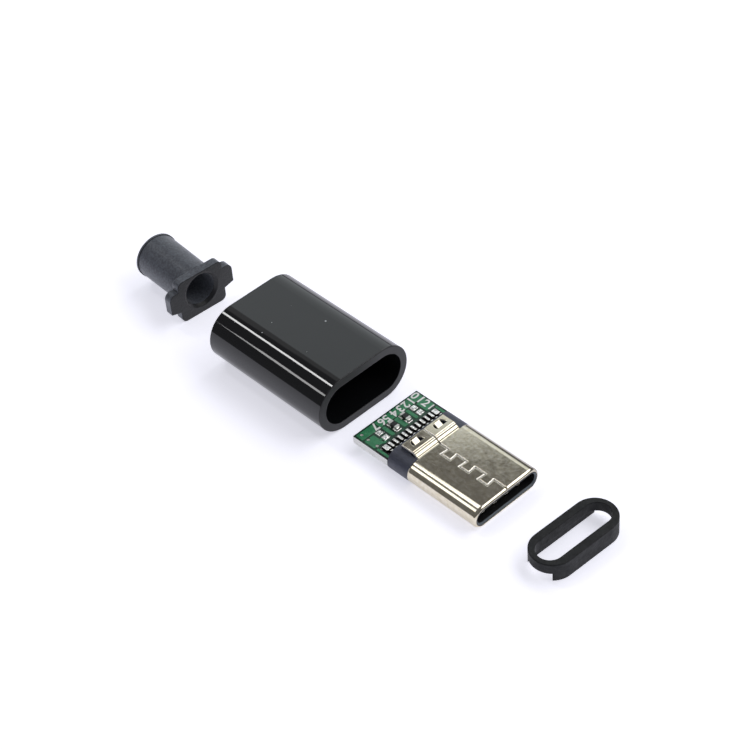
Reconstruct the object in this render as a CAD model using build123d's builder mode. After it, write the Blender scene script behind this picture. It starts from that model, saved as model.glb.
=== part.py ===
from build123d import *
import os
from math import cos, radians, sin

os.makedirs("parts", exist_ok=True)

# USB-C plug taken apart for soldering: cable boot, housing sleeve, plug core on its board, front ring.
# Millimetres. The pieces lie in line on z = 0, +X towards the mating end, origin under the middle.

# Plug shell, the standard 8.25 by 2.40 outline
shell_w = 8.25
shell_h = 2.40
shell_len = 8.40
shell_t = 0.20
lip_depth = 0.12        # the front edge is curled inwards over this length
lip_in = 0.24           # and reaches this far in, all round
lip_r = 0.30

# Rear tongue of the shell, stepped up over the moulding, with two lanced windows
tongue_side = 0.275     # from the side of the shell's flat top
tongue_len = 2.10
tongue_rise = 0.42
step_len = 0.60
step_r = 0.25
window_r = 0.66
window_inset = 0.15     # from a window's straight side back to the middle of its arc
window_side = 0.54      # from a window to the side of the tongue
window_front = 1.15     # from the shell's rear edge to the straight side of a window
flap_w = 0.70
flap_root = 0.12        # level run before a flap bends down
flap_clear = 0.10       # from a flap's free end to the straight side
flap_drop = 0.30
flap_t = 0.15
tongue_weld = 0.02      # level run of the tongue before it steps up

# Dovetailed seam along the top
seam_y = 0.10
seam_gap = 0.06
seam_bevel = 0.07
tooth_count = 3
tooth_pitch = 2.29
tooth_first = 1.63      # from the shell's rear edge to the middle of the first tooth
tooth_w = 1.14
tooth_neck = 1.00
tooth_depth = 0.90

# Mouldings inside the shell
mould_gap = 0.02        # moulding to shell, all round
mould_stub = 1.00       # how far the rear moulding reaches into the shell
nose_set = 0.02         # from the shell's front edge back to the moulding's nose
entry_side = 0.235      # wall beside the full-round entry
entry_h = 1.28
entry_bevel = 0.13
entry_depth = 0.90
mouth_side = 0.455      # wall beside the mouth, which carries on behind the entry
mouth_h = 1.00
mouth_r = 0.30
mouth_back = 1.00       # wall behind the mouth
shoulder_len = 2.55     # the part of the rear moulding that shows behind the shell

# Contacts
contact_count = 12
contact_pitch = 0.50    # in the mouth
tail_pitch = 0.57       # fanned out on the board
contact_w = 0.24
contact_t = 0.15
contact_level = 0.70    # height of the beams over the plug's middle plane
contact_bump = 0.42     # height of the sprung tip over the middle plane
contact_tip = 2.00      # from the plug's face to the tips
bump_len = 0.60
tail_out = 0.40         # straight run behind the moulding before the tail bends down
tail_rise = 0.25
tail_len = 0.70
bend_in = 0.05          # inside radius of bends in thin strip
channel_gap = 0.04      # contact to channel wall

# Latch plate between the two contact rows
latch_t = 0.20
latch_arm_w = 0.30
latch_side = 0.225      # from an arm to the side of the moulding
latch_hook = 0.30
latch_hook_len = 0.45
latch_tip = 1.30
latch_bar = 0.90

# Screening springs
spring_t = 0.10
spring_side = 0.125     # from the side of the shell's flat top
spring_setback = 0.48   # behind the front of the moulding
spring_len = 1.90
finger_count = 4
finger_edge = 0.325     # from the outer fingers to the sides of the spring
finger_w = 0.45
finger_reach = 0.95
finger_margin = 0.15
finger_drop = 0.50

# Circuit board
board_side = 0.04       # from the side of the board to the side of the shoulder
board_t = 0.80
board_out = 4.52        # length behind the rear moulding
board_nose_side = 0.825 # from the side of the board's nose to the side of the shoulder
board_nose = 0.50
board_clear = 0.02
via_r = 0.15
via_in = 0.635          # from the side of the board to the vias
via_xs = [0.50, 1.40, 2.55, 3.15]
part_count = 4          # places for small parts, in a row across the board
part_pitch = 1.47
part_x = 1.90           # from the board's rear edge to the middle of the row
part_y = 0.05
chip_len = 1.00
chip_w = 0.50
chip_h = 0.35
chip_cap = 0.22
chip_inset = 0.02       # the body's faces lie inside the caps' faces
pad_len = 0.60
pad_w = 0.62
pad_t = 0.05
pad_pitch = 0.82        # between the two pads of a place
fillet_in = 0.04        # solder inside the edge of its pad
fillet_h = 0.20
solder_w = 0.36
solder_end_w = 0.62
solder_h = 0.23
solder_over = 0.12      # solder past the tail's end
cable_pad_count = 5
cable_pad_pitch = 1.50
cable_pad_w = 1.00
cable_pad_len = 1.60
cable_pad_t = 0.04

# Housing sleeve
sleeve_len = 15.47
sleeve_wall = 0.840
sleeve_web = 0.80       # wall that the boot's flange seats against
sleeve_edge = 0.06
fit_gap = 0.02          # front ring in the sleeve's mouth
recess_gap = 0.05       # boot flange in the sleeve's rear recess

# Front ring
ring_t = 1.92
ring_end = 0.525        # wall beyond the slot's ends
ring_side = 0.830       # wall along the slot
ring_relief = 0.86
ring_channel = 3.00     # width of the relief across the ring
ring_slot_gap = 0.10
ring_edge = 0.06

# Cable boot
boot_len = 7.72
flange_w = 5.38
flange_h = 4.94
flange_t = 0.88
flange_r = 0.60
tab_span = 7.60
tab_top = 1.45          # heights of the tabs over the middle of the flange
tab_tip = -0.79
tab_root = -1.10
tab_r = 0.70
boot_axis_lift = 0.235
boot_r = 2.27
boot_rear_r = 2.33
bead_up = 0.08
bead_len = 0.30
bead_edge = 0.07
bore_r = 1.70
bore_mouth = 0.30       # bevel at the bore's mouth

# Where the pieces lie
boot_gap = 6.92
boot_turn = -3.2
boot_y = -0.79
board_gap = 2.68
ring_gap = 5.06
ring_turn = -2.2
ring_y = 0.63

# Derived places along X
slot_w = shell_w + 2 * ring_slot_gap
slot_h = shell_h + 2 * ring_slot_gap
ring_w = slot_w + 2 * ring_end
ring_d = slot_h + 2 * ring_side
sleeve_w = ring_w + 2 * fit_gap + 2 * sleeve_wall
sleeve_h = ring_d + 2 * fit_gap + 2 * sleeve_wall
boot_reach = boot_len * cos(radians(boot_turn)) + (boot_rear_r + bead_up) * abs(sin(radians(boot_turn)))
ring_reach = ring_d / 2 + (ring_w - ring_d) / 2 * abs(sin(radians(ring_turn)))
kit_len = (boot_reach + boot_gap + sleeve_len + board_gap + board_out + shoulder_len + shell_len
           + ring_gap + 2 * ring_reach)
ring_x = kit_len / 2 - ring_reach
face_x = kit_len / 2 - 2 * ring_reach - ring_gap
shell_rear = face_x - shell_len
mould_rear = shell_rear - shoulder_len
board_rear = mould_rear - board_out
sleeve_front = board_rear - board_gap
sleeve_rear = sleeve_front - sleeve_len
boot_x = sleeve_rear - boot_gap
core_z = shell_h / 2
mould_w = shell_w - 2 * shell_t - 2 * mould_gap
mould_h = shell_h - 2 * shell_t - 2 * mould_gap
mould_face = face_x - lip_depth
front_mould_rear = shell_rear + mould_stub
front_mould_len = mould_face - front_mould_rear
flat_w = shell_w - shell_h


# The boot's flange with its two side tabs, also the outline of its seat in the sleeve
def flange_outline():
    with BuildLine() as half:
        Polyline((0, tab_root), (flange_w / 2, tab_root), (tab_span / 2, tab_tip),
                 (tab_span / 2, tab_top - tab_r))
        CenterArc((tab_span / 2 - tab_r, tab_top - tab_r), tab_r, 0, 90)
        Polyline((tab_span / 2 - tab_r, tab_top), (0, tab_top), (0, tab_root))
    make_face(half.edges())
    mirror(about=Plane.YZ)
    RectangleRounded(flange_w, flange_h, flange_r)


# Cable boot: flange plate, slightly flared tube, low bead round its rear end
heading = Vector(cos(radians(boot_turn)), sin(radians(boot_turn)), 0)
across = Vector(-sin(radians(boot_turn)), cos(radians(boot_turn)), 0)
flange_z = flange_h / 2
boot_z = flange_z + boot_axis_lift
flange_face = Plane(origin=(boot_x, boot_y, flange_z), x_dir=across, z_dir=heading)
tube_face = Plane(origin=(boot_x, boot_y, boot_z), x_dir=across, z_dir=heading)
with BuildPart() as cable_boot:
    with BuildSketch(flange_face):
        flange_outline()
    extrude(amount=-flange_t)
    with BuildSketch(tube_face.offset(-flange_t)):
        Circle(boot_r)
    with BuildSketch(tube_face.offset(-boot_len)):
        Circle(boot_rear_r)
    loft()
    with BuildSketch(tube_face.offset(-boot_len)):
        Circle(boot_rear_r + bead_up)
    extrude(amount=bead_len)
    chamfer(cable_boot.edges().filter_by(GeomType.CIRCLE).group_by(Axis.X)[0], length=bead_edge)
    with BuildSketch(tube_face):
        Circle(bore_r)
    extrude(amount=-boot_len, mode=Mode.SUBTRACT)
    with BuildSketch(tube_face):
        Circle(bore_r + bore_mouth)
    extrude(amount=-bore_mouth, taper=45, mode=Mode.SUBTRACT)
cable_boot.part.label = "cable_boot"
export_step(cable_boot.part, "parts/cable_boot.step")

# Housing sleeve: full-round tube with a web near its rear end and a seat for the boot's flange
with BuildPart() as housing_sleeve:
    with BuildSketch(Plane.YZ.offset(sleeve_rear)):
        with Locations((0, sleeve_h / 2)):
            SlotOverall(sleeve_w, sleeve_h)
    extrude(amount=sleeve_len)
    chamfer(housing_sleeve.faces().sort_by(Axis.X)[-1].edges(), length=sleeve_edge)
    chamfer(housing_sleeve.faces().sort_by(Axis.X)[0].edges(), length=sleeve_edge)
    with BuildSketch(Plane.YZ.offset(sleeve_rear + flange_t + sleeve_web)):
        with Locations((0, sleeve_h / 2)):
            SlotOverall(sleeve_w - 2 * sleeve_wall, sleeve_h - 2 * sleeve_wall)
    extrude(amount=sleeve_len, mode=Mode.SUBTRACT)
    with BuildSketch(Plane(origin=(sleeve_rear, 0, sleeve_h / 2), x_dir=(0, 1, 0), z_dir=(1, 0, 0))):
        flange_outline()
        offset(amount=recess_gap)
    extrude(amount=flange_t, mode=Mode.SUBTRACT)
    with BuildSketch(Plane.YZ.offset(sleeve_rear)):
        with Locations((0, sleeve_h / 2 + boot_axis_lift)):
            Circle(bore_r + bore_mouth)
    extrude(amount=2 * (flange_t + sleeve_web), mode=Mode.SUBTRACT)
housing_sleeve.part.label = "housing_sleeve"
export_step(housing_sleeve.part, "parts/housing_sleeve.step")

# Front ring: fills the sleeve's mouth round the plug, cut away underneath across its two ends
with BuildPart() as front_ring:
    with BuildSketch():
        with Locations((ring_x, ring_y)):
            SlotOverall(ring_w, ring_d, rotation=90 + ring_turn)
    extrude(amount=ring_t)
    chamfer(front_ring.faces().sort_by(Axis.Z)[-1].edges(), length=ring_edge)
    with BuildSketch():
        with Locations((ring_x, ring_y)):
            SlotOverall(slot_w, slot_h, rotation=90 + ring_turn)
    extrude(amount=ring_t, mode=Mode.SUBTRACT)
    with BuildSketch():
        with Locations((ring_x, ring_y)):
            Rectangle(ring_channel, 2 * ring_w, rotation=ring_turn)
    extrude(amount=ring_relief, mode=Mode.SUBTRACT)
front_ring.part.label = "front_ring"
export_step(front_ring.part, "parts/front_ring.step")

# Plug shell: wrapped sheet with a curled front lip, the dovetailed seam and the stepped rear tongue
top_z = core_z + shell_h / 2
tongue_z = top_z + tongue_rise
tongue_w = flat_w - 2 * tongue_side
window_x = shell_rear - window_front
window_reach = tongue_w / 2 - window_side - window_r
window_ys = [seam_y - window_reach, seam_y + window_reach]
window_rear = window_x - window_inset - window_r


# The windows in the tongue, also the pockets below them
def window_outline():
    with Locations(*[(window_x - window_inset, y) for y in window_ys]):
        Circle(window_r)
    with Locations((window_x, 0)):
        Rectangle(2 * window_r, shell_w, align=(Align.MIN, Align.CENTER), mode=Mode.SUBTRACT)


with BuildPart() as plug_shell:
    with BuildSketch(Plane.YZ.offset(shell_rear)):
        with Locations((0, core_z)):
            SlotOverall(shell_w, shell_h)
    extrude(amount=shell_len)
    fillet(plug_shell.faces().sort_by(Axis.X)[-1].edges(), radius=lip_r)
    with BuildSketch(Plane.YZ.offset(shell_rear)):
        with Locations((0, core_z)):
            SlotOverall(shell_w - 2 * shell_t, shell_h - 2 * shell_t)
    extrude(amount=shell_len - lip_depth, mode=Mode.SUBTRACT)
    with BuildSketch(Plane.YZ.offset(shell_rear)):
        with Locations((0, core_z)):
            SlotOverall(shell_w - 2 * lip_in, shell_h - 2 * lip_in)
    extrude(amount=2 * shell_len, mode=Mode.SUBTRACT)
    with BuildSketch(Plane.XZ):
        with BuildLine():
            FilletPolyline((shell_rear + shell_t, top_z), (shell_rear - tongue_weld, top_z),
                           (shell_rear - step_len, tongue_z), (shell_rear - tongue_len, tongue_z),
                           radius=step_r)
            offset(amount=shell_t, side=Side.LEFT)
        make_face()
    extrude(amount=tongue_w / 2, both=True)
    with BuildSketch(Plane.XY.offset(top_z)):
        window_outline()
    extrude(amount=shell_h, both=True, mode=Mode.SUBTRACT)
    for y in window_ys:
        with BuildSketch(Plane.XZ.offset(-y)):
            with BuildLine():
                FilletPolyline((window_rear - flap_root / 2, tongue_z), (window_rear + flap_root, tongue_z),
                               (window_x - flap_clear, tongue_z - flap_drop),
                               radius=flap_t + bend_in)
                offset(amount=flap_t, side=Side.RIGHT)
            make_face()
        extrude(amount=flap_w / 2, both=True)
    # the seam: a bevelled groove down to a slit through the sheet
    seam = [(shell_rear - 2 * tongue_len, seam_y)]
    for n in range(tooth_count):
        tooth = shell_rear + tooth_first + n * tooth_pitch
        seam += [(tooth - tooth_neck / 2, seam_y), (tooth - tooth_w / 2, seam_y - tooth_depth),
                 (tooth + tooth_w / 2, seam_y - tooth_depth), (tooth + tooth_neck / 2, seam_y)]
    seam += [(face_x + shell_t, seam_y)]
    with BuildSketch(Plane.XY.offset(core_z)):
        with BuildLine():
            Polyline(*seam)
        trace(line_width=seam_gap)
    extrude(amount=shell_h, mode=Mode.SUBTRACT)
    for level in (top_z, tongue_z):
        with BuildSketch(Plane.XY.offset(level)) as groove:
            with BuildLine():
                Polyline(*seam)
            trace(line_width=seam_gap + 2 * seam_bevel)
        extrude(amount=-seam_bevel, taper=45, mode=Mode.SUBTRACT)
plug_shell.part.label = "plug_shell"
export_step(plug_shell.part, "parts/plug_shell.step")

# Latch plate: a flat fork between the contact rows, its hooked arms reaching forward into the mouth
latch_rear = front_mould_rear - channel_gap - latch_bar
latch_arm_out = mould_w / 2 - latch_side
arm_in = latch_arm_out - latch_arm_w
with BuildPart() as latch_plate:
    with BuildSketch(Plane.XY.offset(core_z)):
        with BuildLine():
            Polyline((latch_rear, 0), (latch_rear, latch_arm_out), (face_x - latch_tip, latch_arm_out),
                     (face_x - latch_tip, arm_in - latch_hook / 2),
                     (face_x - latch_tip - latch_hook_len / 2, arm_in - latch_hook),
                     (face_x - latch_tip - latch_hook_len, arm_in),
                     (latch_rear + latch_bar, arm_in), (latch_rear + latch_bar, 0), close=True)
        make_face()
        mirror(about=Plane.XZ)
    extrude(amount=latch_t / 2, both=True)
latch_plate.part.label = "latch_plate"
export_step(latch_plate.part, "parts/latch_plate.step")

# Contacts: stamped strips with a sprung tip in the mouth, a beam, and a tail bent down to the board
tail_z = core_z + board_t / 2
beam_z = core_z + contact_level + contact_t / 2
bump_z = core_z + contact_bump + contact_t / 2
tip_x = face_x - contact_tip
tail_bend = mould_rear - tail_out
contacts_upper = []
for n in range(contact_count):
    place = n - (contact_count - 1) / 2
    tail_y = place * tail_pitch
    beam_y = place * contact_pitch
    with BuildPart() as contact:
        with BuildSketch(Plane.XZ):
            with BuildLine():
                FilletPolyline((tip_x, bump_z + contact_t), (tip_x - bump_len / 2, bump_z),
                               (tip_x - 1.5 * bump_len, beam_z), (tail_bend, beam_z),
                               (tail_bend - tail_rise, tail_z + contact_t),
                               (tail_bend - tail_rise - tail_len, tail_z + contact_t),
                               radius=contact_t + bend_in)
                offset(amount=contact_t, side=Side.LEFT)
            make_face()
        extrude(amount=shell_w, both=True)
        with BuildSketch():
            with BuildLine():
                right = [(x, y - contact_w / 2) for x, y in (
                    (face_x, beam_y), (shell_rear, beam_y), (shell_rear - shoulder_len / 2, tail_y),
                    (board_rear, tail_y))]
                left = [(x, y + contact_w) for x, y in reversed(right)]
                Polyline(*right, *left, close=True)
            make_face()
        extrude(amount=2 * shell_h, mode=Mode.INTERSECT)
    contact.part.label = f"contact_upper_{n + 1}"
    export_step(contact.part, f"parts/{contact.part.label}.step")
    contacts_upper.append(contact.part)

middle = Plane.XY.offset(core_z)
contacts_lower = []
for n in range(contact_count):
    with BuildPart() as contact:
        mirror(contacts_upper[n], about=middle)
    contact.part.label = f"contact_lower_{n + 1}"
    export_step(contact.part, f"parts/{contact.part.label}.step")
    contacts_lower.append(contact.part)

# Rear moulding: full-round shoulder behind the shell and a stub inside it, moulded round the contacts
seat_z = tongue_z - shell_t
board_nose_w = shell_w - 2 * board_nose_side
with BuildPart() as rear_moulding:
    with BuildSketch(Plane.YZ.offset(mould_rear)):
        with Locations((0, core_z)):
            SlotOverall(shell_w, shell_h)
    extrude(amount=shoulder_len)
    with BuildSketch(Plane.YZ.offset(mould_rear)):
        with Locations((0, core_z)):
            SlotOverall(mould_w, mould_h)
    extrude(amount=front_mould_rear - mould_rear)
    # raised seat under the tongue, with a pocket below each window
    with BuildSketch(Plane.XY.offset(core_z)):
        with Locations((shell_rear - tongue_len, 0)):
            Rectangle(tongue_len - step_len - step_r, tongue_w, align=(Align.MIN, Align.CENTER))
    extrude(amount=seat_z - core_z)
    with BuildSketch(Plane.XY.offset(seat_z)):
        window_outline()
    extrude(amount=-flap_drop, mode=Mode.SUBTRACT)
    # relief for the step in the tongue
    with BuildSketch(Plane.XY.offset(top_z - shell_t - mould_gap)):
        with Locations((shell_rear, 0)):
            Rectangle(step_len + step_r, tongue_w + 2 * mould_gap, align=(Align.MAX, Align.CENTER))
    extrude(amount=shell_h, mode=Mode.SUBTRACT)
    # slot for the board's nose
    with BuildSketch(Plane.YZ.offset(mould_rear)):
        with Locations((0, core_z)):
            Rectangle(board_nose_w + 2 * mould_gap, board_t + 2 * mould_gap)
    extrude(amount=board_nose + mould_gap, mode=Mode.SUBTRACT)
    add([latch_plate.part, *contacts_upper, *contacts_lower], mode=Mode.SUBTRACT)
rear_moulding.part.label = "rear_moulding"
export_step(rear_moulding.part, "parts/rear_moulding.step")

# Front moulding: lines the shell, with the mouth, contact channels, latch slots and spring windows
channel_top = contact_level + contact_t / 2 + channel_gap
channel_h = channel_top - contact_bump
spring_seat = mould_h / 2 - spring_t - mould_gap
spring_front = mould_face - spring_setback
spring_w = mould_w - mould_h - 2 * spring_side
finger_pitch = (spring_w - 2 * finger_edge - finger_w) / (finger_count - 1)
entry_w = mould_w - 2 * entry_side
with BuildPart() as front_moulding:
    with BuildSketch(Plane.YZ.offset(front_mould_rear)):
        with Locations((0, core_z)):
            SlotOverall(mould_w, mould_h)
    extrude(amount=front_mould_len)
    # nose inside the curled lip, with a bevelled full-round entry
    nose_face = Plane.YZ.offset(face_x - nose_set)
    with BuildSketch(nose_face):
        with Locations((0, core_z)):
            SlotOverall(shell_w - 2 * lip_in - 2 * mould_gap, shell_h - 2 * lip_in - 2 * mould_gap)
    extrude(amount=-entry_depth)
    with BuildSketch(nose_face):
        with Locations((0, core_z)):
            SlotOverall(entry_w, entry_h)
    extrude(amount=-entry_depth, mode=Mode.SUBTRACT)
    with BuildSketch(nose_face):
        with Locations((0, core_z)):
            SlotOverall(entry_w + 2 * entry_bevel, entry_h + 2 * entry_bevel)
    extrude(amount=-entry_bevel, taper=45, mode=Mode.SUBTRACT)
    with BuildSketch(Plane.YZ.offset(mould_face)):
        with Locations((0, core_z)):
            RectangleRounded(mould_w - 2 * mouth_side, mouth_h, mouth_r)
    extrude(amount=mouth_back - front_mould_len, mode=Mode.SUBTRACT)
    for level in (channel_top - channel_h / 2, channel_h / 2 - channel_top):
        with BuildSketch(Plane.YZ.offset(front_mould_rear)):
            with Locations((0, core_z + level)):
                with GridLocations(contact_pitch, 0, contact_count, 1):
                    Rectangle(contact_w + 2 * channel_gap, channel_h)
        extrude(amount=tip_x + contact_t - front_mould_rear, mode=Mode.SUBTRACT)
    with BuildSketch(Plane.YZ.offset(front_mould_rear)):
        for side in (-1, 1):
            with Locations((side * (latch_arm_out - latch_arm_w / 2), core_z)):
                Rectangle(latch_arm_w + 2 * channel_gap, latch_t + 2 * channel_gap)
    extrude(amount=face_x - latch_tip + channel_gap - front_mould_rear, mode=Mode.SUBTRACT)
    for side in (-1, 1):
        with BuildSketch(Plane.XY.offset(core_z + side * spring_seat)):
            with Locations((spring_front + channel_gap, 0)):
                Rectangle(spring_len + 2 * channel_gap, spring_w + 2 * channel_gap,
                          align=(Align.MAX, Align.CENTER))
        extrude(amount=side * shell_h, mode=Mode.SUBTRACT)
        with BuildSketch(Plane.XY.offset(core_z)):
            with Locations((spring_front - finger_margin, 0)):
                with GridLocations(0, finger_pitch, 1, finger_count):
                    Rectangle(finger_reach + finger_margin, finger_w + 4 * channel_gap,
                              align=(Align.MAX, Align.CENTER))
        extrude(amount=side * shell_h, mode=Mode.SUBTRACT)
front_moulding.part.label = "front_moulding"
export_step(front_moulding.part, "parts/front_moulding.step")

# Screening springs: thin plates under the shell, each with fingers lanced down into the mouth
spring_z = core_z + spring_seat + spring_t
finger_root = spring_front - finger_margin - finger_reach
with BuildPart() as spring_upper:
    with BuildSketch(Plane.XY.offset(spring_z)):
        with Locations((spring_front, 0)):
            Rectangle(spring_len, spring_w, align=(Align.MAX, Align.CENTER))
        with Locations((spring_front - finger_margin, 0)):
            with GridLocations(0, finger_pitch, 1, finger_count):
                Rectangle(finger_reach, finger_w + 2 * channel_gap, align=(Align.MAX, Align.CENTER),
                          mode=Mode.SUBTRACT)
    extrude(amount=-spring_t)
    for n in range(finger_count):
        y = (n - (finger_count - 1) / 2) * finger_pitch
        with BuildSketch(Plane.XZ.offset(-y)):
            with BuildLine():
                FilletPolyline((finger_root - spring_t, spring_z), (finger_root + spring_t, spring_z),
                               (finger_root + 0.7 * finger_reach, spring_z - finger_drop),
                               (finger_root + 0.9 * finger_reach, spring_z - finger_drop + spring_t),
                               radius=spring_t + bend_in)
                offset(amount=spring_t, side=Side.RIGHT)
            make_face()
        extrude(amount=finger_w / 2, both=True)
spring_upper.part.label = "spring_upper"
export_step(spring_upper.part, "parts/spring_upper.step")
with BuildPart() as spring_lower:
    mirror(spring_upper.part, about=middle)
spring_lower.part.label = "spring_lower"
export_step(spring_lower.part, "parts/spring_lower.step")

# Circuit board: a nose slides into the rear moulding, four plated vias near one edge
board_w = shell_w - 2 * board_side
with BuildPart() as circuit_board:
    with BuildSketch(Plane.XY.offset(core_z - board_t / 2)):
        with Locations((board_rear, 0)):
            Rectangle(board_out - board_clear, board_w, align=(Align.MIN, Align.CENTER))
        with Locations((mould_rear + board_nose, 0)):
            Rectangle(board_nose + 2 * board_clear, board_nose_w, align=(Align.MAX, Align.CENTER))
        with Locations(*[(board_rear + x, via_in - board_w / 2) for x in via_xs]):
            Circle(via_r, mode=Mode.SUBTRACT)
    extrude(amount=board_t)
circuit_board.part.label = "circuit_board"
export_step(circuit_board.part, "parts/circuit_board.step")

# Tinned pads: four places in a row for small parts, the outer two left bare
with BuildPart() as tinned_pads:
    with BuildSketch(Plane.XY.offset(tail_z)):
        with Locations((board_rear + part_x, part_y)):
            with GridLocations(pad_pitch, part_pitch, 2, part_count):
                Rectangle(pad_len, pad_w)
    extrude(amount=pad_t)
tinned_pads.part.label = "tinned_pads"
export_step(tinned_pads.part, "parts/tinned_pads.step")

# Two chip resistors on the inner places, with metal caps slightly proud of the bodies
pad_top = Plane.XY.offset(tail_z + pad_t)
resistors = []
for n in range(2):
    with BuildPart() as resistor:
        with BuildSketch(pad_top):
            with Locations((board_rear + part_x, part_y + (0.5 - n) * part_pitch)):
                Rectangle(chip_len - 2 * chip_cap, chip_w - 2 * chip_inset)
        extrude(amount=chip_h - chip_inset)
        with BuildSketch(pad_top):
            with Locations((board_rear + part_x, part_y + (0.5 - n) * part_pitch)):
                with GridLocations(chip_len - chip_cap, 0, 2, 1):
                    Rectangle(chip_cap, chip_w)
        extrude(amount=chip_h)
    resistor.part.label = f"resistor_{n + 1}"
    export_step(resistor.part, f"parts/{resistor.part.label}.step")
    resistors.append(resistor.part)

# Solder at the four ends of the resistors
with BuildPart() as chip_solder:
    with BuildSketch(pad_top):
        with Locations((board_rear + part_x, part_y)):
            with GridLocations(pad_pitch, part_pitch, 2, 2):
                Rectangle(pad_len - 2 * fillet_in, pad_w - 2 * fillet_in)
    extrude(amount=fillet_h, taper=25)
    add(resistors, mode=Mode.SUBTRACT)
chip_solder.part.label = "chip_solder"
export_step(chip_solder.part, "parts/chip_solder.step")

# Cable pads under the board's rear edge
with BuildPart() as cable_pads:
    with BuildSketch(Plane.XY.offset(core_z - board_t / 2)):
        with Locations((board_rear + cable_pad_len, 0)):
            with GridLocations(0, cable_pad_pitch, 1, cable_pad_count):
                Rectangle(cable_pad_len, cable_pad_w)
    extrude(amount=-cable_pad_t)
cable_pads.part.label = "cable_pads"
export_step(cable_pads.part, "parts/cable_pads.step")

# Solder joints over the tails, wider at the two ends of the row
solder_len = tail_len + solder_over
with BuildPart() as solder_upper:
    with BuildSketch(Plane.XY.offset(tail_z)):
        with Locations((tail_bend - tail_rise - tail_len - solder_over, 0)):
            with GridLocations(0, tail_pitch, 1, contact_count):
                Rectangle(solder_len, solder_w, align=(Align.MIN, Align.CENTER))
            with GridLocations(0, tail_pitch * (contact_count - 1), 1, 2):
                Rectangle(solder_len, solder_end_w, align=(Align.MIN, Align.CENTER))
    extrude(amount=solder_h, taper=15)
    add(contacts_upper, mode=Mode.SUBTRACT)
solder_upper.part.label = "solder_upper"
export_step(solder_upper.part, "parts/solder_upper.step")
with BuildPart() as solder_lower:
    mirror(solder_upper.part, about=middle)
solder_lower.part.label = "solder_lower"
export_step(solder_lower.part, "parts/solder_lower.step")
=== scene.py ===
import bpy
import bmesh
from math import cos, pi, radians, sin, tan
from mathutils import Matrix, Vector


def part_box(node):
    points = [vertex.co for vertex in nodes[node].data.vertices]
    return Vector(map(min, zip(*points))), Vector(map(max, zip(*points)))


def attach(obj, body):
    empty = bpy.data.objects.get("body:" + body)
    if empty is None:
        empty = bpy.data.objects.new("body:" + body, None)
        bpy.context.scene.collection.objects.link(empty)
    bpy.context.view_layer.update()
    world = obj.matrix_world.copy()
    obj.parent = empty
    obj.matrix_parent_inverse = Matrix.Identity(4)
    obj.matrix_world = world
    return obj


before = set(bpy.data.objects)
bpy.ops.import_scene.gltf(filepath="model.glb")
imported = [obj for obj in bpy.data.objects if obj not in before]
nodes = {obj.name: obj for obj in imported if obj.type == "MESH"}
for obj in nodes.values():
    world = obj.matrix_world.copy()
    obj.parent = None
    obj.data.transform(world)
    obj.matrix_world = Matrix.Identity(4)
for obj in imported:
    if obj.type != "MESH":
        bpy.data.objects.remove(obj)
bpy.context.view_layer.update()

# USB-C plug taken apart for soldering, photographed on a white sweep.
# Metres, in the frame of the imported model: +X towards the mating end, z = 0 on the table.
MM = 0.001
MICRON = MM / 1000

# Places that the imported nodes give
shell_low, shell_high = (Vector(corner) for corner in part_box("plug_shell"))
board_low, board_high = (Vector(corner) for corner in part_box("circuit_board"))
chip_low, chip_high = (Vector(corner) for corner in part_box("resistor_1"))
contact_low, contact_high = (Vector(corner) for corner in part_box("contact_upper_1"))
plug_face = shell_high.x

# Plug shell: the step up to its tongue, pressed in strokes
step_line = plug_face - 8.80 * MM
step_rear = step_line - 0.30 * MM
step_front = step_line + 0.50 * MM
stroke_pitch = 0.28 * MM
stroke_height = 0.019 * MM
roof_slope = 0.011              # the flat top falls this steeply to both sides

# Plug shell: the part of its top that holds the seam and the windows, whose edges get a painted highlight
seam_reach = 2.70 * MM          # from the middle to the side
seam_front = plug_face - 0.45 * MM
seam_floor = shell_low.z + 2.19 * MM

# Chip resistor: its metal ends
chip_cap = 0.22 * MM

# Camera: the angles, distance and focal length that the outlines in the photograph give
camera_azimuth = 49.657
camera_elevation = 42.910
camera_roll = -5.171
camera_distance = 193.446 * MM
camera_lens = 97.5
camera_target = Vector((plug_face - 21.178 * MM, 4.064 * MM, 0))

# Printed board: copper in islands under the mask. Lengths along it are from its rear edge,
# lengths across it from its middle.
copper_height = 0.035 * MM
pour_gap = 0.20 * MM
pour_margin = 0.20 * MM
pour_corner = 0.10 * MM
pour_slope = copper_height / 2  # width of the slope up to an island's top
pour_rise = copper_height / 3   # height of that slope, on top of copper_height
rear_pour_end = 1.10 * MM
pads_rear = 1.22 * MM           # where the copper between the pads starts
tail_row = 2.86 * MM            # rear side of the row of soldered tails
pour_end = 4.40 * MM
via_radius = 0.17 * MM
via_line = 0.635 * MM           # from the board's side
via_places = [0.50 * MM, 1.40 * MM, 2.55 * MM, 3.15 * MM]

# Printed board: the ink on top
ink_height = 0.050 * MM
ink_stroke = 0.14 * MM
digit_size = 1.26 * MM
digit_weight = 0.03 * MM        # added all round a digit's outline
digit_row = 0.60 * MM
digit_row_lines = [2.73, 2.03, 1.31, 0.53, -0.43, -1.03, -1.88]     # millimetres
side_digits = [0.42, 1.20, 1.88]                                    # millimetres
side_line = board_high.y - 0.66 * MM


def linear(hex_colour):
    """An sRGB hex colour as the linear colour that a shader takes."""
    channels = [int(hex_colour[i:i + 2], 16) / 255 for i in (1, 3, 5)]
    return [c / 12.92 if c <= 0.04045 else ((c + 0.055) / 1.055) ** 2.4 for c in channels] + [1]


def feed(made, socket, value):
    """Gives a socket a number, a hex colour, another node's output, or a node's first output."""
    if isinstance(value, bpy.types.Node):
        value = value.outputs[0]
    if isinstance(value, bpy.types.NodeSocket):
        made.node_tree.links.new(value, socket)
    else:
        socket.default_value = linear(value) if isinstance(value, str) else value


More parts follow.
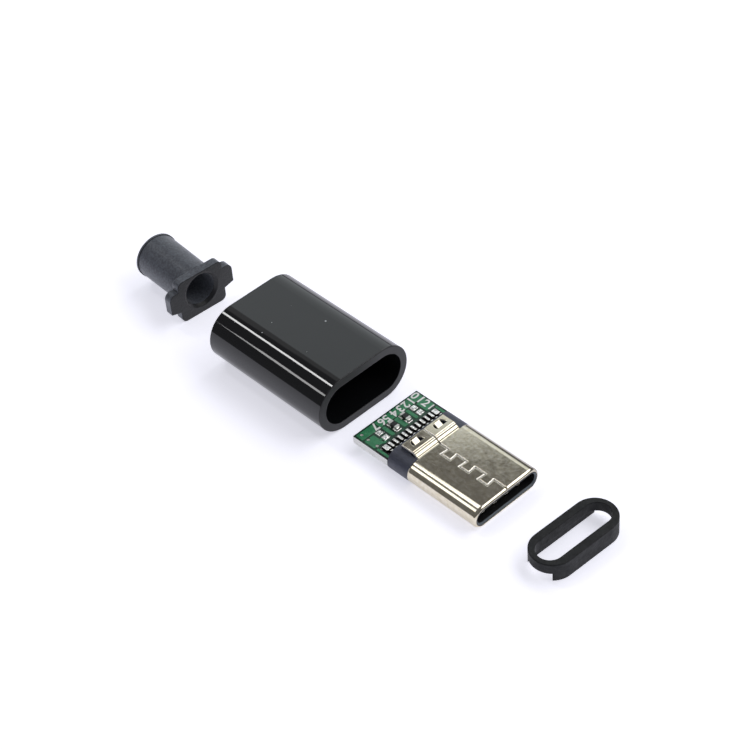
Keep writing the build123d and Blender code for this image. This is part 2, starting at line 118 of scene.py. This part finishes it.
def add(made, kind, inputs=None, **settings):
    """Adds a node to a material or world, with its settings and what feeds its inputs."""
    node = made.node_tree.nodes.new(kind)
    for name, value in settings.items():
        setattr(node, name, value)
    for socket, value in (inputs or {}).items():
        feed(made, node.inputs[socket], value)
    return node


def into(made, **sockets):
    """Feeds sockets of the material's Principled shader, named with _ for each space."""
    shader = made.node_tree.nodes["Principled BSDF"]
    for name, value in sockets.items():
        feed(made, shader.inputs[name.replace("_", " ")], value)


def material(name, colour, roughness, **sockets):
    """A material of one colour and roughness, which patterns may then replace."""
    made = bpy.data.materials.new(name)
    made.use_nodes = True
    into(made, Base_Color=colour, Roughness=roughness, **sockets)
    return made


def speckle(made, size, stretch=(1, 1, 1), detail=3.0):
    """Noise on the object's own coordinates, its features size metres across where not stretched."""
    where = add(made, "ShaderNodeTexCoord")
    scale = Vector([1 / (size * s) for s in stretch])
    spot = add(made, "ShaderNodeMapping", {"Vector": where.outputs["Object"], "Scale": scale})
    noise = add(made, "ShaderNodeTexNoise", {"Vector": spot, "Scale": 1.0, "Detail": detail})
    return noise.outputs["Fac"]


def between(made, factor, low, high, first, second):
    """Goes from one colour or number to another as the factor goes from low to high."""
    ends = (first, second) if isinstance(first, float) else (0.0, 1.0)
    part = add(made, "ShaderNodeMapRange", {"Value": factor, "From Min": low, "From Max": high,
                                            "To Min": ends[0], "To Max": ends[1]})
    if isinstance(first, float):
        return part.outputs[0]
    mixed = add(made, "ShaderNodeMix", {0: part, 6: first, 7: second}, data_type="RGBA")
    return mixed.outputs[2]


def relief(made, edge, *layers):
    """Edges rounded to a radius, then bumps from pairs of a pattern and its height in metres."""
    normal = add(made, "ShaderNodeBevel", {"Radius": edge}, samples=8)
    for pattern, height in layers:
        normal = add(made, "ShaderNodeBump", {"Height": pattern, "Distance": height, "Normal": normal})
    into(made, Normal=normal)


def axis_place(made, axis):
    """One of the object's own coordinates, in metres."""
    where = add(made, "ShaderNodeTexCoord")
    return add(made, "ShaderNodeSeparateXYZ", {0: where.outputs["Object"]}).outputs[axis]


def facing(made, axis):
    """How squarely the surface faces one way or its opposite, from 0 to 1."""
    shape = add(made, "ShaderNodeNewGeometry")
    normal = add(made, "ShaderNodeSeparateXYZ", {0: shape.outputs["Normal"]})
    return add(made, "ShaderNodeMath", {0: normal.outputs[axis]}, operation="ABSOLUTE")


def dress(piece, look):
    """Gives a piece its material."""
    piece.data.materials.clear()
    piece.data.materials.append(look)


def polished_abs():
    """Moulded ABS, polished: near black under a clear mirror, with some dust and a slight waviness."""
    black = "#131416"
    made = material("polished_abs", black, 0.05, IOR=1.51)
    # dust: a speck in some cells of a grid, its radius a share of the cell
    dust_cell = 2.8 * MM
    dusty_from = 0.45
    speck_radius = 0.032
    where = add(made, "ShaderNodeTexCoord")
    dust = add(made, "ShaderNodeTexVoronoi", {"Vector": where.outputs["Object"], "Scale": 1 / dust_cell},
               voronoi_dimensions="2D")
    chance = add(made, "ShaderNodeSeparateColor", {0: dust.outputs["Color"]})
    radius = between(made, chance, dusty_from, 1.0, 0.0, speck_radius)
    speck = add(made, "ShaderNodeMath", {0: dust.outputs["Distance"], 1: radius}, operation="LESS_THAN")
    into(made, Base_Color=between(made, speck, 0.0, 1.0, black, "#c4c8cc"))
    # smears from fingers; faces that look along the sleeve, at its ends and its web, are unpolished
    smears = between(made, speckle(made, 1.6 * MM), 0.35, 0.75, 0.03, 0.065)
    unpolished = between(made, facing(made, "X"), 0.3, 0.5, 0.0, 0.40)
    into(made, Roughness=add(made, "ShaderNodeMath", {0: smears, 1: unpolished}, operation="ADD"))
    sink = speckle(made, 5.0 * MM, detail=1.0)
    peel = speckle(made, 0.30 * MM)
    relief(made, 0.10 * MM, (sink, 22 * MICRON), (peel, 0.4 * MICRON))
    return made


def eroded_abs():
    """Moulded ABS off a spark-eroded tool: an even fine grain that takes the gloss away."""
    # the IOR is matched below the plastic's own 1.54, as a pitted skin mirrors less
    made = material("eroded_abs", "#1c1e1f", 0.62, IOR=1.42)
    # the tool's grain is under 0.1 mm across, and is drawn two to three times as coarse
    grain = speckle(made, 0.22 * MM, detail=2.0)
    into(made, Base_Color=between(made, speckle(made, 0.30 * MM), 0.35, 0.65, "#090b0d", "#15181c"),
         Roughness=between(made, speckle(made, 0.9 * MM), 0.3, 0.7, 0.52, 0.70))
    relief(made, 0.12 * MM, (grain, 22 * MICRON))
    return made


def boot_rubber():
    """Thermoplastic rubber: a soft grey sheen, with a pebbled skin; painted sheen makes its sides lighter
    and painted shade makes its end faces darker.
    """
    # the IOR is matched below the rubber's own 1.5, as a pebbled skin mirrors less
    made = material("thermoplastic_rubber", "#2c2e31", 0.60, IOR=1.37, Sheen_Weight=0.20,
                    Sheen_Roughness=0.5)
    # the skin's pebbles are about 0.1 mm across, and are drawn over twice as coarse
    pebbles = speckle(made, 0.24 * MM, detail=2.0)
    dents = speckle(made, 1.1 * MM, detail=1.0)
    # painted sheen and shade: the skin is painted lighter than the faces that look along the boot, which
    # are painted nearly black
    skin = between(made, speckle(made, 0.22 * MM), 0.35, 0.65, "#474a52", "#5c616a")
    into(made, Base_Color=between(made, facing(made, "X"), 0.3, 0.7, skin, "#121417"),
         Roughness=between(made, speckle(made, 1.2 * MM), 0.3, 0.7, 0.30, 0.48))
    relief(made, 0.14 * MM, (pebbles, 26 * MICRON), (dents, 10 * MICRON))
    return made


def nickel_plate():
    """Bright nickel on drawn steel sheet: a warm mirror, slightly mottled, its flats not quite true."""
    made = material("nickel_plated_steel", "#d6cfbe", 0.10, Metallic=1.0)
    shape = add(made, "ShaderNodeNewGeometry")
    normal = add(made, "ShaderNodeSeparateXYZ", {0: shape.outputs["Normal"]})
    along, across, height = (axis_place(made, axis) for axis in "XYZ")
    off_middle = add(made, "ShaderNodeMath", {0: across}, operation="ABSOLUTE")
    # painted shade: the left side, which faces +Y, is painted a duller grey for the darker reflection it
    # shows
    clean = between(made, speckle(made, 0.35 * MM), 0.3, 0.7, "#d1c8b1", "#ded7c6")
    mottled_with_painted_shade = between(made, normal.outputs["Y"], 0.08, 0.55, clean, "#a09a8f")
    # the sheared edges of the seam and the windows are matt, and are painted near white as a painted
    # highlight along them
    flat_from = 0.75                # a face whose normal points up by less is an edge
    matt = 0.30                     # added to an edge's roughness
    sheared_painted_bright = add(made, "ShaderNodeMath", {0: normal.outputs["Z"], 1: flat_from}, operation="LESS_THAN")
    for place, test, limit in ((off_middle, "LESS_THAN", seam_reach), (height, "GREATER_THAN", seam_floor),
                               (along, "LESS_THAN", seam_front)):
        within = add(made, "ShaderNodeMath", {0: place, 1: limit}, operation=test)
        sheared_painted_bright = add(made, "ShaderNodeMath", {0: sheared_painted_bright, 1: within}, operation="MULTIPLY")
    smooth = between(made, speckle(made, 0.7 * MM), 0.3, 0.7, 0.07, 0.13)
    # painted highlight: the sheared edges' colour is raised to near white
    into(made, Base_Color=between(made, sheared_painted_bright, 0.0, 1.0, mottled_with_painted_shade, "#fffcf6"),
         Roughness=add(made, "ShaderNodeMath", {0: sheared_painted_bright, 1: matt, 2: smooth}, operation="MULTIPLY_ADD"))
    # the flat top falls to both sides, and the step up to the tongue shows the strokes of the press
    lean = add(made, "ShaderNodeMath", {0: off_middle, 1: -roof_slope}, operation="MULTIPLY")
    run = add(made, "ShaderNodeMath", {0: along, 1: step_line}, operation="SUBTRACT")
    turn = add(made, "ShaderNodeMath", {0: run, 1: 2 * pi / stroke_pitch}, operation="MULTIPLY")
    strokes = add(made, "ShaderNodeMath", {0: turn}, operation="SINE")
    past_rear = add(made, "ShaderNodeMath", {0: along, 1: step_rear}, operation="GREATER_THAN")
    short_of_front = add(made, "ShaderNodeMath", {0: along, 1: step_front}, operation="LESS_THAN")
    for factor in (past_rear, short_of_front, -stroke_height):
        strokes = add(made, "ShaderNodeMath", {0: strokes, 1: factor}, operation="MULTIPLY")
    # the sheet's rolled grain is drawn several times as coarse
    relief(made, 0.11 * MM, (lean, 1.0), (strokes, 1.0), (speckle(made, 0.22 * MM), 0.8 * MICRON))
    return made


def filled_lcp():
    """Glass-filled liquid crystal polymer: dark satin with fibres drawn out along the flow."""
    made = material("glass_filled_lcp", "#22242d", 0.48, IOR=1.60)
    # the fibres are 0.01 mm thick, and are drawn eight times as coarse
    fibres = speckle(made, 0.08 * MM, stretch=(6, 1, 1))
    into(made, Base_Color=between(made, fibres, 0.35, 0.70, "#2e3240", "#43485b"),
         Roughness=between(made, speckle(made, 0.5 * MM), 0.3, 0.7, 0.42, 0.55))
    relief(made, 0.06 * MM, (fibres, 4 * MICRON))
    return made


def black_lcp():
    """The same polymer in black for the mouth, with the bevel round its entry painted slate grey as a
    painted highlight.
    """
    made = material("black_lcp", "#08090a", 0.50, IOR=1.60)
    # fibres as coarse as in the other moulding
    fibres = speckle(made, 0.08 * MM, stretch=(6, 1, 1))
    black = between(made, fibres, 0.35, 0.70, "#060708", "#121315")
    bevel_facing = 0.707            # of a face that leans 45 degrees
    off = add(made, "ShaderNodeMath", {0: facing(made, "X"), 1: bevel_facing}, operation="SUBTRACT")
    off = add(made, "ShaderNodeMath", {0: off}, operation="ABSOLUTE")
    # painted highlight: the bevel that leans 45 degrees round the entry is painted slate grey
    into(made, Base_Color=between(made, off, 0.10, 0.20, "#5d676e", black))
    return made


def contact_strip():
    """Phosphor bronze strip: gold plated where it mates, bright tin to the tail; its sides are painted
    dark as painted shade in the gaps between strips.
    """
    made = material("gold_plated_bronze", "#e6c677", 0.20, Metallic=1.0)
    middle = (contact_high.x + contact_low.x) / 2
    plating_edge = 0.05 * MM
    plating = between(made, axis_place(made, "X"), middle - plating_edge, middle + plating_edge,
                      "#f6f5f1", "#e6c677")
    ripples = speckle(made, 0.24 * MM, detail=1.0)
    # painted shade: the sides that face across the row are painted nearly black
    into(made, Base_Color=between(made, facing(made, "Y"), 0.5, 0.7, plating, "#2b2620"),
         Roughness=between(made, speckle(made, 0.15 * MM), 0.3, 0.7, 0.16, 0.28))
    relief(made, 0.07 * MM, (ripples, 30 * MICRON))
    return made


def brushed_spring_steel():
    """Stainless spring strip: fine drawn lines along its length."""
    made = material("stainless_strip", "#bdbab2", 0.28, Metallic=1.0)
    # the lines are a few microns wide, and are drawn at 0.03 mm
    lines = speckle(made, 0.03 * MM, stretch=(20, 1, 1))
    into(made, Roughness=between(made, lines, 0.3, 0.7, 0.20, 0.38))
    relief(made, 0.03 * MM, (lines, 1 * MICRON))
    return made


def reflowed_tin():
    """Lead-free solder and levelled tin: bright, a little lumpy, dulled in patches."""
    made = material("bright_tin", "#f0f0ec", 0.20, Metallic=1.0)
    lumps = speckle(made, 0.26 * MM, detail=1.0)
    into(made, Base_Color=between(made, speckle(made, 0.4 * MM), 0.3, 0.7, "#e2e2dd", "#fafaf8"),
         Roughness=between(made, speckle(made, 0.25 * MM), 0.3, 0.7, 0.14, 0.30))
    relief(made, 0.10 * MM, (lumps, 60 * MICRON))
    return made


def tail_solder():
    """Solder round a tail: bright on top, its sides painted dark as painted shade."""
    made = material("lead_free_solder", "#f6f4ee", 0.25, Metallic=1.0)
    lumps = speckle(made, 0.26 * MM, detail=1.0)
    top = between(made, speckle(made, 0.2 * MM), 0.3, 0.7, "#e4e2dc", "#ffffff")
    # painted shade: faces that lean away from the top are painted nearly black
    into(made, Base_Color=between(made, facing(made, "Z"), 0.45, 0.85, "#2b2a28", top),
         Roughness=between(made, speckle(made, 0.25 * MM), 0.3, 0.7, 0.18, 0.34))
    relief(made, 0.10 * MM, (lumps, 40 * MICRON))
    return made


def chip_body():
    """Thick-film chip: black overglaze between two tinned ends."""
    glaze = "#141216"
    made = material("overglazed_alumina", glaze, 0.30)
    middle = (chip_low.x + chip_high.x) / 2
    cap_start = (chip_high.x - chip_low.x) / 2 - chip_cap
    reach = add(made, "ShaderNodeMath", {0: axis_place(made, "X"), 1: middle}, operation="SUBTRACT")
    reach = add(made, "ShaderNodeMath", {0: reach}, operation="ABSOLUTE")
    cap = add(made, "ShaderNodeMath", {0: reach, 1: cap_start}, operation="GREATER_THAN")
    into(made, Base_Color=between(made, cap, 0.0, 1.0, glaze, "#dededa"), Metallic=cap)
    return made


def masked_laminate():
    """Glass-epoxy board: green mask on both faces, its cut sides pale with broken glass ends."""
    made = material("masked_laminate", "#17442f", 0.22, IOR=1.55)
    level = facing(made, "Z")
    # broken yarns: their fibres are 0.01 mm thick, and show in bundles
    weave = between(made, speckle(made, 0.10 * MM, stretch=(3, 3, 0.6)), 0.35, 0.70, "#f2f2ec", "#ffffff")
    mask = between(made, speckle(made, 0.5 * MM), 0.3, 0.7, "#0f3323", "#1a4832")
    # painted shade: the board is painted nearly black between the soldered tails, where shade falls in the
    # gaps
    row = board_low.x + tail_row
    mask = between(made, axis_place(made, "X"), row, row + 0.1 * MM, mask, "#08110d")
    into(made, Base_Color=between(made, level, 0.4, 0.6, weave, mask),
         Roughness=between(made, level, 0.4, 0.6, 0.60, 0.20))
    return made


def masked_copper():
    """Solder mask over copper: a lighter green, as the metal shines through."""
    made = material("masked_copper", "#2f8257", 0.22, IOR=1.55)
    into(made, Base_Color=between(made, speckle(made, 0.35 * MM), 0.3, 0.7, "#2b7a51", "#3c9163"),
         Roughness=between(made, speckle(made, 0.6 * MM), 0.3, 0.7, 0.18, 0.30))
    relief(made, 0.02 * MM, (speckle(made, 0.30 * MM), 5 * MICRON))
    return made


def screen_ink():
    """Screened epoxy ink: dead white, slightly uneven."""
    made = material("epoxy_ink", "#f1f3f1", 0.55)
    into(made, Base_Color=between(made, speckle(made, 0.12 * MM), 0.3, 0.7, "#f2f4f2", "#ffffff"))
    return made


def on_board(place, line, height=0.0):
    """A point on the board: from its rear edge, across from its middle, and over its top."""
    return Vector((board_low.x + place, line, board_high.z + height))


def picked(piece, mode, wanted):
    """Goes into edit mode with only those edges or faces selected for which wanted is true."""
    bpy.ops.object.mode_set(mode="EDIT")
    bpy.ops.mesh.select_mode(type=mode)
    bpy.ops.mesh.select_all(action="DESELECT")
    mesh = bmesh.from_edit_mesh(piece.data)
    for part in (mesh.edges if mode == "EDGE" else mesh.faces):
        if wanted(part):
            part.select_set(True)
    bmesh.update_edit_mesh(piece.data)


def upright(edge):
    """Whether an edge stands on end."""
    first, second = (corner.co for corner in edge.verts)
    return abs(first.z - second.z) > abs(first.x - second.x) + abs(first.y - second.y)


def settle(piece, name, look):
    """Leaves edit mode, puts the piece's place into its mesh, names it and lets it ride on the body."""
    bpy.ops.object.mode_set(mode="OBJECT")
    bpy.ops.object.transform_apply(location=True, rotation=True, scale=True)
    piece.name = name
    dress(piece, look)
    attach(piece, "root")
    return piece


def island(name, rear, front, right, left, look):
    """A copper island under the mask, with round corners and a slope up to its top."""
    bpy.ops.object.select_all(action="DESELECT")
    bpy.ops.mesh.primitive_cube_add(
        size=1, location=on_board((rear + front) / 2, (right + left) / 2, copper_height / 2),
        scale=(front - rear, left - right, copper_height))
    piece = bpy.context.object
    bpy.ops.object.transform_apply(location=False, rotation=False, scale=True)
    picked(piece, "EDGE", upright)
    bpy.ops.mesh.bevel(offset=pour_corner, segments=3, affect="EDGES")
    picked(piece, "FACE", lambda face: face.normal.z > 0.9)
    bpy.ops.mesh.inset(thickness=pour_slope)
    bpy.ops.transform.translate(value=(0, 0, pour_rise))
    return settle(piece, name, look)


def drill(piece, places, line, radius):
    """Takes round holes out of a piece, at places along a line."""
    for number, place in enumerate(places):
        bpy.ops.object.select_all(action="DESELECT")
        bpy.ops.mesh.primitive_cylinder_add(vertices=24, radius=radius, depth=MM,
                                            location=on_board(place, line))
        cutter = bpy.context.object
        cut = piece.modifiers.new(f"hole_{number}", "BOOLEAN")
        cut.object = cutter
        cut.operation = "DIFFERENCE"
        bpy.context.view_layer.objects.active = piece
        bpy.ops.object.modifier_apply(modifier=cut.name)
        bpy.data.objects.remove(cutter)


def pour(look):
    """The copper islands between the pads, with the gaps that the photograph shows."""
    side = board_high.y - pour_margin
    split = -1.62 * MM              # where a gap divides the rear copper
    middle_rear = rear_pour_end + pour_gap
    middle_front = tail_row - pour_gap
    # the rear, front, right and left side of each
    islands = {
        "rear": (pour_margin, rear_pour_end, split, side),
        "rear_right": (pour_margin, rear_pour_end, -side, split - pour_gap),
        "right": (middle_rear, middle_front, -side, -2.72 * MM),
        "between_1": (pads_rear, middle_front, split, -1.22 * MM),
        "between_2": (pads_rear, middle_front, -0.08 * MM, 0.46 * MM),
        "between_3": (pads_rear, middle_front, 1.40 * MM, 1.76 * MM),
        "left": (middle_rear, middle_front, 2.76 * MM, side),
        "front_right": (tail_row, pour_end, -side, -3.60 * MM),
        "front_left": (tail_row, pour_end, 3.60 * MM, side),
    }
    made = {name: island(f"pour_{name}", *sides, look) for name, sides in islands.items()}
    drilled = {"rear_right": via_places[:1], "right": via_places[1:3], "front_right": via_places[3:]}
    for name, places in drilled.items():
        drill(made[name], places, board_low.y + via_line, via_radius)


def ring(name, place, line, radius, stroke, look):
    """A flat copper ring under the mask."""
    bpy.ops.object.select_all(action="DESELECT")
    bpy.ops.mesh.primitive_circle_add(vertices=32, radius=radius, fill_type="NGON",
                                      location=on_board(place, line))
    piece = bpy.context.object
    picked(piece, "FACE", lambda face: True)
    bpy.ops.mesh.inset(thickness=stroke)
    bpy.ops.mesh.delete(type="FACE")
    bpy.ops.mesh.select_all(action="SELECT")
    bpy.ops.mesh.extrude_region_move(TRANSFORM_OT_translate={"value": (0, 0, copper_height)})
    bpy.ops.mesh.select_all(action="SELECT")
    bpy.ops.mesh.normals_make_consistent(inside=False)
    return settle(piece, name, look)


def digit(number, place, line, turn, look):
    """A plain printed digit, its middle at a place on the board."""
    bpy.ops.object.select_all(action="DESELECT")
    bpy.ops.object.text_add(location=on_board(place, line), rotation=(0, 0, turn))
    piece = bpy.context.object
    piece.data.body = str(number)
    piece.data.size = digit_size
    piece.data.align_x = "CENTER"
    piece.data.align_y = "CENTER"
    piece.data.offset = digit_weight
    piece.data.extrude = ink_height / 2
    piece.data.resolution_u = 4
    bpy.ops.object.convert(target="MESH")
    bpy.ops.object.mode_set(mode="EDIT")
    bpy.ops.mesh.select_all(action="SELECT")
    bpy.ops.transform.translate(value=(0, 0, ink_height / 2))
    return settle(bpy.context.object, f"digit_{number}_{round(place / MM * 100)}", look)


def bar(name, place, line, length, look):
    """A printed bar across the board, its corners bevelled by just under half its width."""
    bpy.ops.object.select_all(action="DESELECT")
    bpy.ops.mesh.primitive_cube_add(size=1, location=on_board(place, line, ink_height / 2),
                                    scale=(ink_stroke, length, ink_height))
    piece = bpy.context.object
    bpy.ops.object.transform_apply(location=False, rotation=False, scale=True)
    picked(piece, "EDGE", upright)
    bpy.ops.mesh.bevel(offset=ink_stroke * 0.45, segments=4, affect="EDGES")
    return settle(piece, name, look)


def print_marks(look):
    """Ink on the board: digits along its rear edge, and digits and a bar along its left side."""
    for number, line in enumerate(digit_row_lines, start=1):
        digit(number, digit_row, line * MM, radians(-90), look)
    for number, place in enumerate(side_digits):
        digit(number, place * MM, side_line, 0, look)
    bar("print_bar", place=2.60 * MM, line=side_line, length=0.80 * MM, look=look)


def camera():
    """The camera of the photograph: full-frame, aimed by its angles, distance and target."""
    az, el, roll = (radians(a) for a in (camera_azimuth, camera_elevation, camera_roll))
    back = Vector((sin(az) * cos(el), -cos(az) * cos(el), sin(el)))
    level = Vector((cos(az), sin(az), 0))
    raised = back.cross(level)
    right = cos(roll) * level + sin(roll) * raised
    up = cos(roll) * raised - sin(roll) * level
    data = bpy.data.cameras.new("camera")
    data.lens = camera_lens
    data.sensor_width = 36
    data.clip_start = 0.01
    made = bpy.data.objects.new("camera", data)
    bpy.context.scene.collection.objects.link(made)
    turned = Matrix((right, up, back)).transposed().to_4x4()
    made.matrix_world = Matrix.Translation(camera_target + camera_distance * back) @ turned
    bpy.context.scene.camera = made


def lamp(name, azimuth, elevation, width, height, radiance, colour="#ffffff", roll=0, distance=0.60):
    """An area lamp aimed at the object, whose face is width by height degrees as seen from it."""
    size, size_y = (2 * distance * tan(radians(a) / 2) for a in (width, height))
    data = bpy.data.lights.new(name, "AREA")
    data.shape = "RECTANGLE"
    data.size = size
    data.size_y = size_y
    data.energy = radiance * pi * size * size_y
    data.color = linear(colour)[:3]
    made = bpy.data.objects.new(name, data)
    bpy.context.scene.collection.objects.link(made)
    az, el = radians(azimuth), radians(elevation)
    towards = Vector((cos(az) * cos(el), sin(az) * cos(el), sin(el)))
    aimed = towards.to_track_quat("Z", "Y").to_matrix().to_4x4() @ Matrix.Rotation(radians(roll), 4, "Z")
    made.matrix_world = Matrix.Translation(towards * distance) @ aimed


def lights():
    """As the camera sees it: a window behind the object, strips to its left, a softbox to its right."""
    # azimuth and elevation, then width and height, all in degrees, and the radiance
    lamp("window", 136, 24.8, 28, 39.6, 0.97, "#f0f8fb")
    lamp("window_glow", 155, 47.5, 15, 7, 0.35)
    lamp("strip_high", -171.5, 53.0, 5, 9, 15)
    lamp("strip_high_wide", 168, 61.5, 23, 8, 2.0)
    lamp("strip_low", -134.5, 33.6, 5, 5, 7)
    lamp("strip_low_wide", -135.0, 46.0, 6, 18, 2.0, roll=38)
    lamp("softbox", 66, 50, 66, 30, 2.6)


def room():
    """World: an even pale room, white where the camera looks past the table."""
    world = bpy.data.worlds.new("room")
    world.use_nodes = True
    bpy.context.scene.world = world
    world.node_tree.nodes.clear()
    seen = add(world, "ShaderNodeLightPath")
    light = add(world, "ShaderNodeBackground", {"Color": "#fbfbff", "Strength": 0.17})
    white = add(world, "ShaderNodeBackground", {"Color": "#ffffff", "Strength": 1.0})
    both = add(world, "ShaderNodeMixShader", {0: seen.outputs["Is Camera Ray"], 1: light, 2: white})
    add(world, "ShaderNodeOutputWorld", {"Surface": both})


def table():
    """White table, a little brighter than the light on it, as in a generously exposed photograph."""
    bpy.ops.object.select_all(action="DESELECT")
    table_side = 3                  # metres
    bpy.ops.mesh.primitive_plane_add(size=table_side)
    floor = bpy.context.object
    floor.name = "table"
    paper = bpy.data.materials.new("white_paper")
    paper.use_nodes = True
    paper.node_tree.nodes.clear()
    body = add(paper, "ShaderNodeBsdfDiffuse", {"Color": "#ececf6"})
    glow = add(paper, "ShaderNodeEmission", {"Color": "#f6f6ff", "Strength": 0.58})
    both = add(paper, "ShaderNodeAddShader", {0: body, 1: glow})
    add(paper, "ShaderNodeOutputMaterial", {"Surface": both})
    dress(floor, paper)


camera()
lights()
room()
table()
bpy.context.scene.view_settings.view_transform = "Standard"

tin = reflowed_tin()
joints = tail_solder()
chip = chip_body()
spring = brushed_spring_steel()
strip = contact_strip()
looks = {"cable_boot": boot_rubber(), "housing_sleeve": polished_abs(), "front_ring": eroded_abs(),
         "plug_shell": nickel_plate(), "front_moulding": black_lcp(), "rear_moulding": filled_lcp(),
         "circuit_board": masked_laminate(), "resistor_1": chip, "resistor_2": chip,
         "solder_upper": joints, "solder_lower": joints,
         "latch_plate": spring, "spring_upper": spring, "spring_lower": spring}
for name, node in nodes.items():
    dress(node, strip if name.startswith("contact_") else looks.get(name, tin))

copper = masked_copper()
pour(copper)
ring("test_ring", place=2.45 * MM, line=-2.66 * MM, radius=0.36 * MM, stroke=0.20 * MM, look=copper)
print_marks(screen_ink())
